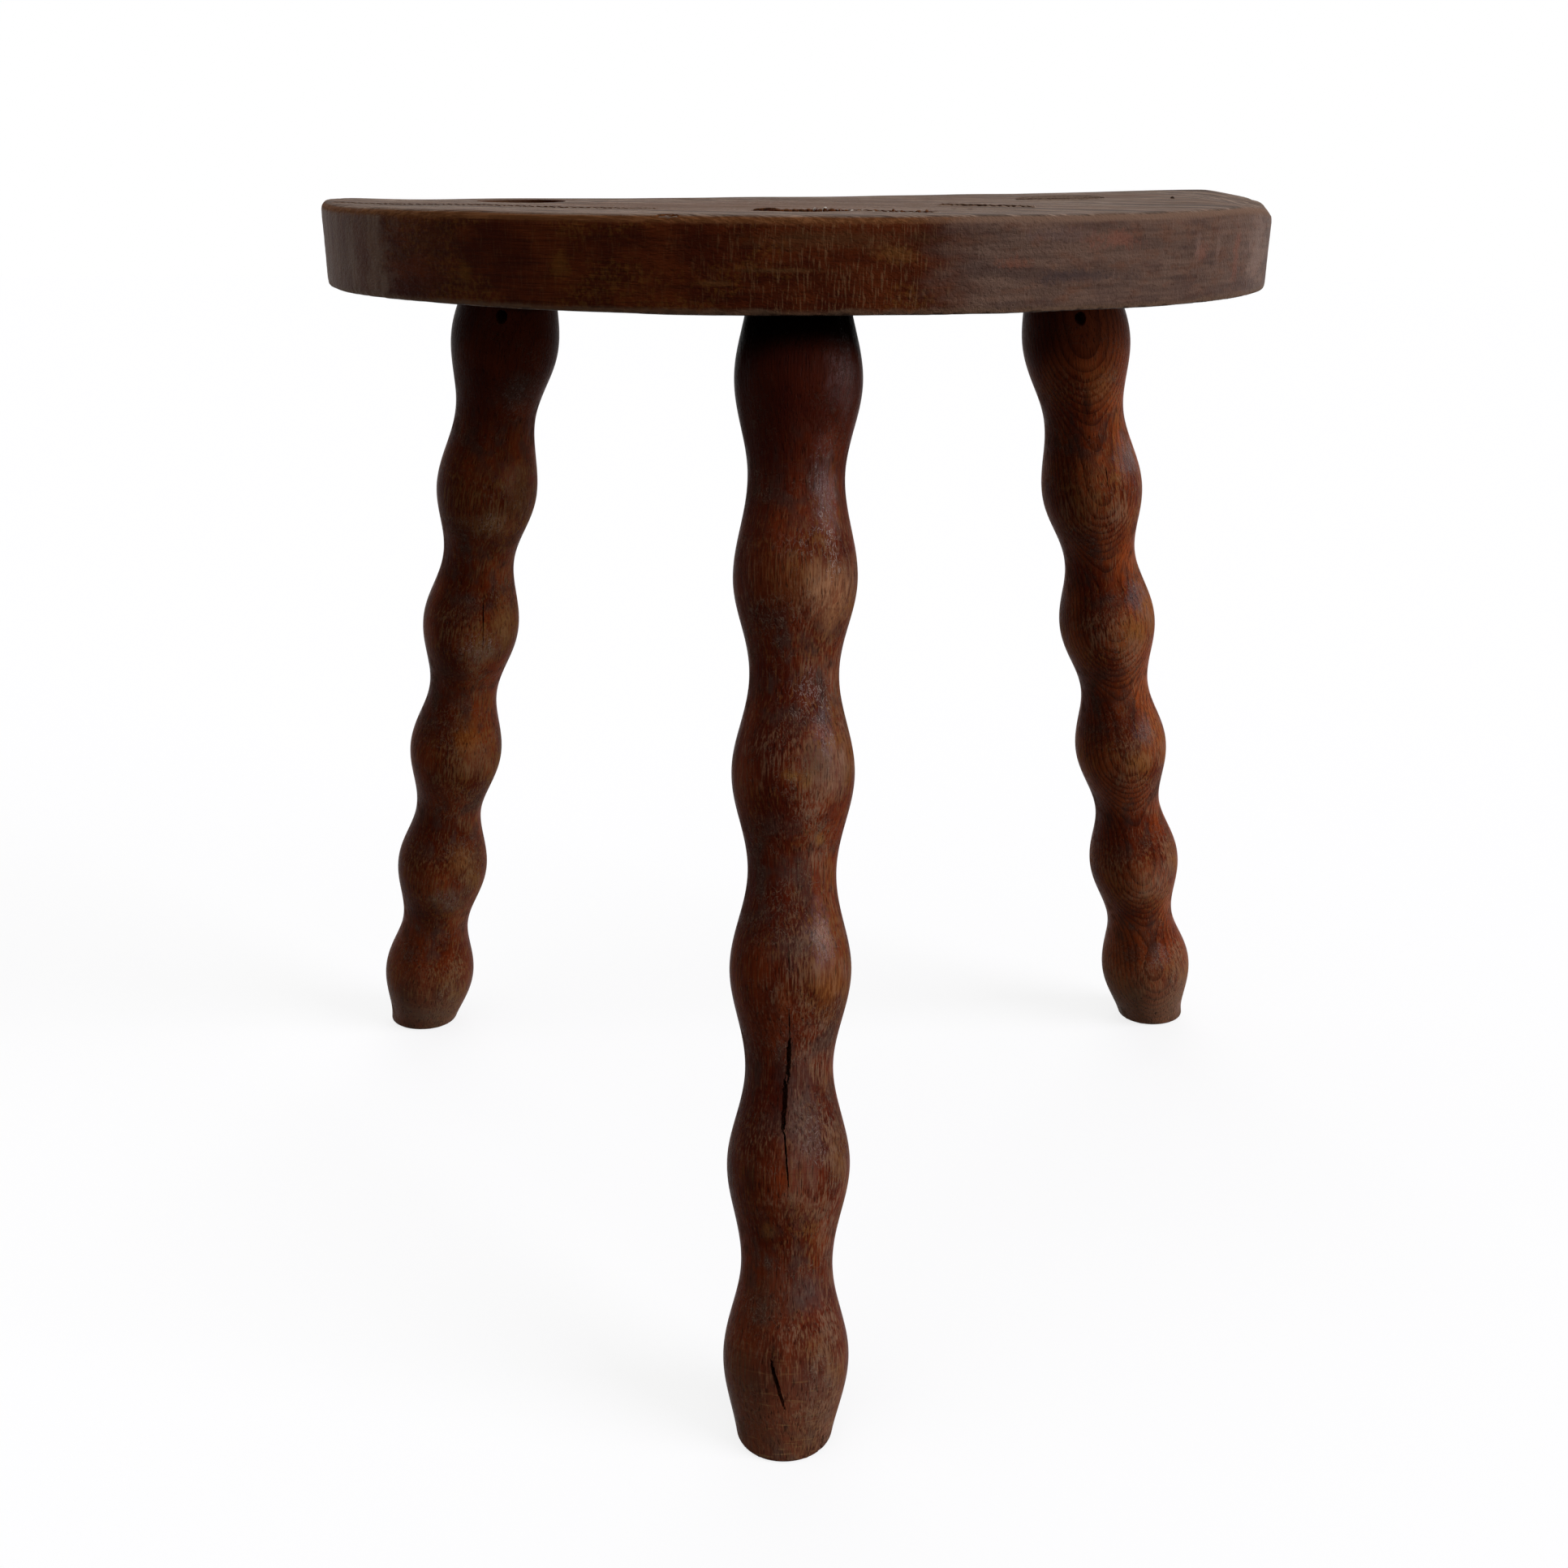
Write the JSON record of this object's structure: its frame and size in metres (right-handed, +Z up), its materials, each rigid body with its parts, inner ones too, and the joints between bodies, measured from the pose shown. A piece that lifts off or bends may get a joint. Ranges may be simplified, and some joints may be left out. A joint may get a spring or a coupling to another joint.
{
  "type": "milking stool",
  "caption": "Half-moon plank milking stool on splayed bobbin-turned legs, their wedged round tenons through the seat.",
  "frame": {"origin": "on the floor, under the middle of the stool's overall box", "axes": "+Z up, +X along the seat's straight back edge, the curved front towards -Y"},
  "size_m": [0.3832, 0.3534, 0.38],
  "materials": {
    "seat_wood": "old dark stain, worn grey-brown on top",
    "leg_wood": "turned, red-brown stain, waxed and worn",
    "wedge_wood": "split hardwood, trimmed flush",
    "nail_iron": "dark rusted iron"
  },
  "bodies": {
    "root": {"seat": "seat_wood", "front_leg": "leg_wood", "left_rear_leg": "leg_wood", "right_rear_leg": "leg_wood", "front_wedge": "wedge_wood", "left_rear_wedge": "wedge_wood", "right_rear_wedge": "wedge_wood", "front_nail": "nail_iron", "left_rear_nail": "nail_iron", "right_rear_nail": "nail_iron"}
  },
  "joints": []
}
